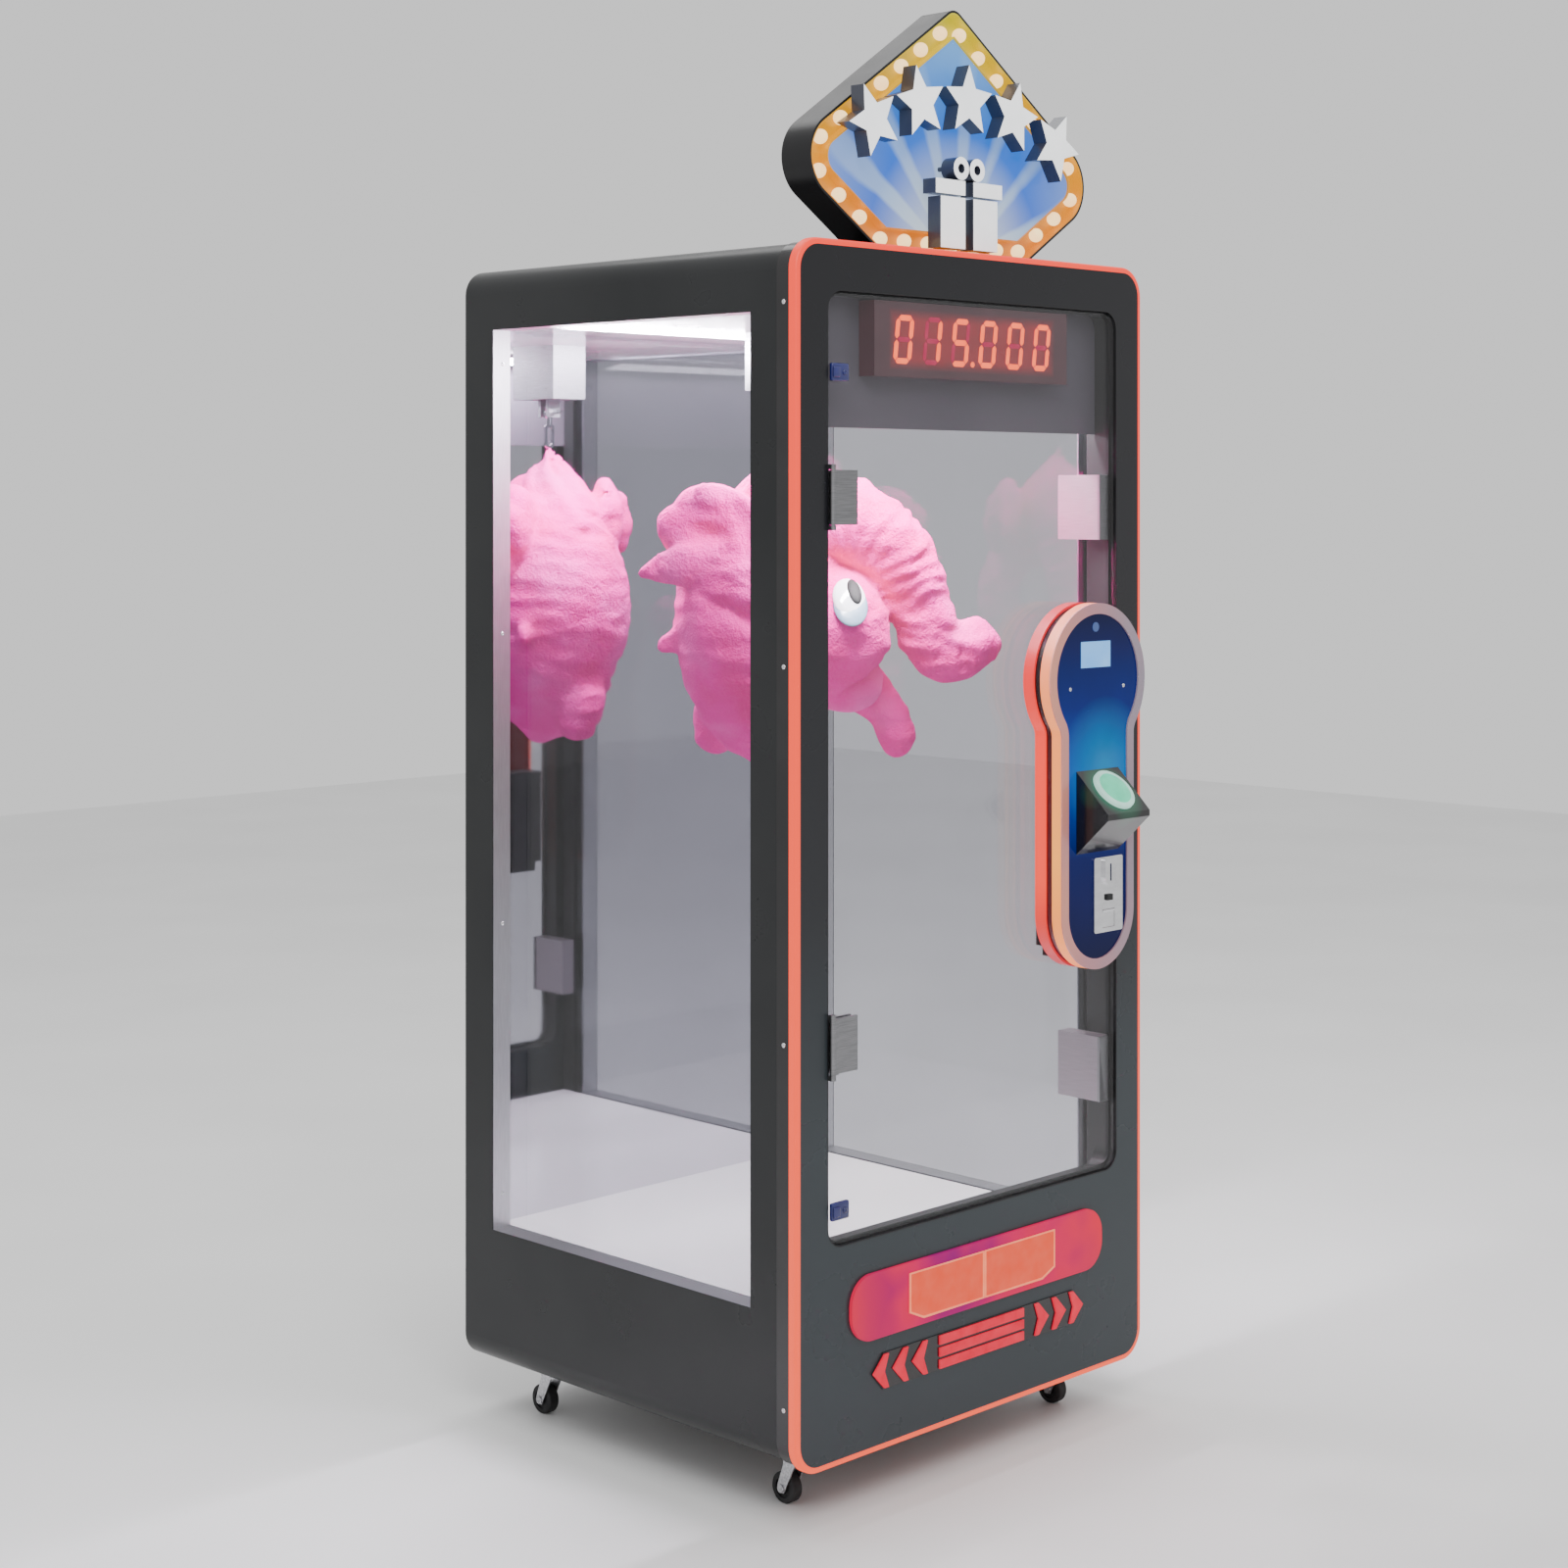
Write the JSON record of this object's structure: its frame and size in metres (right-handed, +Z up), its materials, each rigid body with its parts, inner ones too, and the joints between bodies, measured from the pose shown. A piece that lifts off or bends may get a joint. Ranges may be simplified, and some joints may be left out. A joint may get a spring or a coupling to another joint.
{
  "type": "prize vending machine",
  "caption": "Free-standing prize machine with a glass door, keyhole-shaped button console, hanging soft toy, timer display, lit diamond sign and swivel casters.",
  "frame": {"origin": "centre of the bounding box in plan, on the floor under the casters", "axes": "+X to the player's right, -Y to the front with the door, +Z up"},
  "size_m": [0.863, 0.936, 2.3924],
  "materials": {
    "shell_paint": "satin",
    "front_paint": "gloss",
    "chassis_steel": "matt",
    "led_diffuser": "diffusing",
    "black_gloss": "gloss",
    "liner_black": "satin",
    "frame_aluminium": "satin",
    "clear_glass": "polished",
    "white_lining": "gloss",
    "mirror": "polished",
    "header_grey": "satin",
    "display_body": "gloss",
    "display_light": "lit",
    "lamp_red": "gloss",
    "lamp_orange": "gloss",
    "arrow_coral": "gloss",
    "sign_black": "gloss",
    "sign_yellow": "satin",
    "sign_blue": "gloss",
    "bulb": "gloss",
    "emblem_white": "gloss",
    "release_steel": "brushed",
    "chrome": "polished",
    "lock_steel": "brushed",
    "hinge_steel": "brushed",
    "inlet_black": "matt",
    "electronics": "satin",
    "caster_zinc": "zinc plated",
    "console_black": "gloss",
    "console_strip": "diffusing",
    "console_bezel": "gloss",
    "console_blue": "gloss",
    "screen_blue": "lit",
    "housing_black": "satin",
    "button_white": "gloss",
    "button_green": "lit",
    "coin_black": "satin",
    "plush_pink": "short pile",
    "wheel_black": "matt"
  },
  "bodies": {
    "cabinet": {"base_cover": "shell_paint", "top_cover": "shell_paint", "right_side_panel": "shell_paint", "left_side_panel": "shell_paint", "floor_panel": "white_lining", "ceiling_panel": "white_lining", "back_mirror": "mirror", "header_panel": "header_grey", "chassis_tubes": "chassis_steel", "front_panel": "front_paint", "led_strip": "led_diffuser", "edge_band": "black_gloss", "opening_liner": "liner_black", "rear_panel": "shell_paint", "side_window_frames": "frame_aluminium", "side_windows": "clear_glass", "display_housing": "display_body", "display_segments": "display_light", "lamp_lens": "lamp_red", "lamp_inner_lenses": "lamp_orange", "arrow_backplate": "black_gloss", "arrow_lenses": "arrow_coral", "sign_casing": "sign_black", "sign_border": "sign_yellow", "sign_field": "sign_blue", "sign_bulbs": "bulb", "sign_emblem": "emblem_white", "release_housing": "release_steel", "lock_boxes": "lock_steel", "hinge_wall_leaves": "hinge_steel", "power_inlet": "inlet_black", "base_electronics": "electronics", "caster_plates": "caster_zinc"},
    "door": {"door_glass": "clear_glass", "door_fittings": "hinge_steel", "console_shell": "console_black", "console_led_rings": "console_strip", "console_bezel": "console_bezel", "console_face": "console_blue", "console_screen": "screen_blue", "button_housing": "housing_black", "button_ring": "button_white", "coin_plate": "chrome", "coin_box": "coin_black"},
    "start_button": {"push_button": "button_green"},
    "coin_reject": {"coin_reject_button": "coin_black"},
    "coin_flap": {"coin_return_flap": "chrome"},
    "release_pin": {"release_pin": "chrome"},
    "prize": {"prize_hook": "chrome", "prize_plush": "plush_pink"},
    "rear_hatch": {"rear_hatch": "shell_paint"},
    "hatch_lock": {"hatch_lock": "chrome"},
    "caster_front_left": {"caster_fork_front_left": "caster_zinc"},
    "wheel_front_left": {"caster_wheel_front_left": "wheel_black"},
    "caster_front_right": {"caster_fork_front_right": "caster_zinc"},
    "wheel_front_right": {"caster_wheel_front_right": "wheel_black"},
    "caster_rear_left": {"caster_fork_rear_left": "caster_zinc"},
    "wheel_rear_left": {"caster_wheel_rear_left": "wheel_black"},
    "caster_rear_right": {"caster_fork_rear_right": "caster_zinc"},
    "wheel_rear_right": {"caster_wheel_rear_right": "wheel_black"}
  },
  "joints": [
    {"name": "door_hinge", "type": "hinge", "parent": "cabinet", "child": "door", "pos_m": [-0.356, -0.35, 1.1635], "axis": [0, 0, -1], "range_deg": [0, 100]},
    {"name": "button_press", "type": "slide", "parent": "door", "child": "start_button", "axis": [0, 0.7071, -0.7071], "range_m": [0, 0.004], "stiffness_N_per_m": 1500, "springref_m": -0.002},
    {"name": "coin_reject_press", "type": "slide", "parent": "door", "child": "coin_reject", "axis": [0, 1, 0], "range_m": [0, 0.003], "stiffness_N_per_m": 600, "springref_m": -0.002},
    {"name": "coin_flap_hinge", "type": "hinge", "parent": "door", "child": "coin_flap", "pos_m": [0.262, -0.4025, 0.8898], "axis": [1, 0, 0], "range_deg": [0, 60]},
    {"name": "release_pin_slide", "type": "slide", "parent": "cabinet", "child": "release_pin", "axis": [0, 1, 0], "range_m": [0, 0.026], "stiffness_N_per_m": 400, "springref_m": -0.005},
    {"name": "prize_swing", "type": "hinge", "parent": "cabinet", "child": "prize", "pos_m": [0, 0.106, 1.752], "axis": [0, 1, 0], "range_deg": [-12, 12]},
    {"name": "rear_hatch_hinge", "type": "hinge", "parent": "cabinet", "child": "rear_hatch", "pos_m": [-0.244, 0.46, 0.216], "axis": [0, 0, 1], "range_deg": [0, 110]},
    {"name": "hatch_lock_turn", "type": "hinge", "parent": "rear_hatch", "child": "hatch_lock", "pos_m": [0.225, 0.456, 0.216], "axis": [0, 1, 0], "range_deg": [0, 90]},
    {"name": "caster_swivel_front_left", "type": "hinge", "parent": "cabinet", "child": "caster_front_left", "pos_m": [-0.331, -0.244, 0.07], "axis": [0, 0, 1], "continuous": true},
    {"name": "wheel_spin_front_left", "type": "hinge", "parent": "caster_front_left", "child": "wheel_front_left", "pos_m": [-0.331, -0.226, 0.025], "axis": [1, 0, 0], "continuous": true},
    {"name": "caster_swivel_front_right", "type": "hinge", "parent": "cabinet", "child": "caster_front_right", "pos_m": [0.331, -0.244, 0.07], "axis": [0, 0, 1], "continuous": true},
    {"name": "wheel_spin_front_right", "type": "hinge", "parent": "caster_front_right", "child": "wheel_front_right", "pos_m": [0.331, -0.226, 0.025], "axis": [1, 0, 0], "continuous": true},
    {"name": "caster_swivel_rear_left", "type": "hinge", "parent": "cabinet", "child": "caster_rear_left", "pos_m": [-0.331, 0.346, 0.07], "axis": [0, 0, 1], "continuous": true},
    {"name": "wheel_spin_rear_left", "type": "hinge", "parent": "caster_rear_left", "child": "wheel_rear_left", "pos_m": [-0.331, 0.364, 0.025], "axis": [1, 0, 0], "continuous": true},
    {"name": "caster_swivel_rear_right", "type": "hinge", "parent": "cabinet", "child": "caster_rear_right", "pos_m": [0.331, 0.346, 0.07], "axis": [0, 0, 1], "continuous": true},
    {"name": "wheel_spin_rear_right", "type": "hinge", "parent": "caster_rear_right", "child": "wheel_rear_right", "pos_m": [0.331, 0.364, 0.025], "axis": [1, 0, 0], "continuous": true}
  ]
}
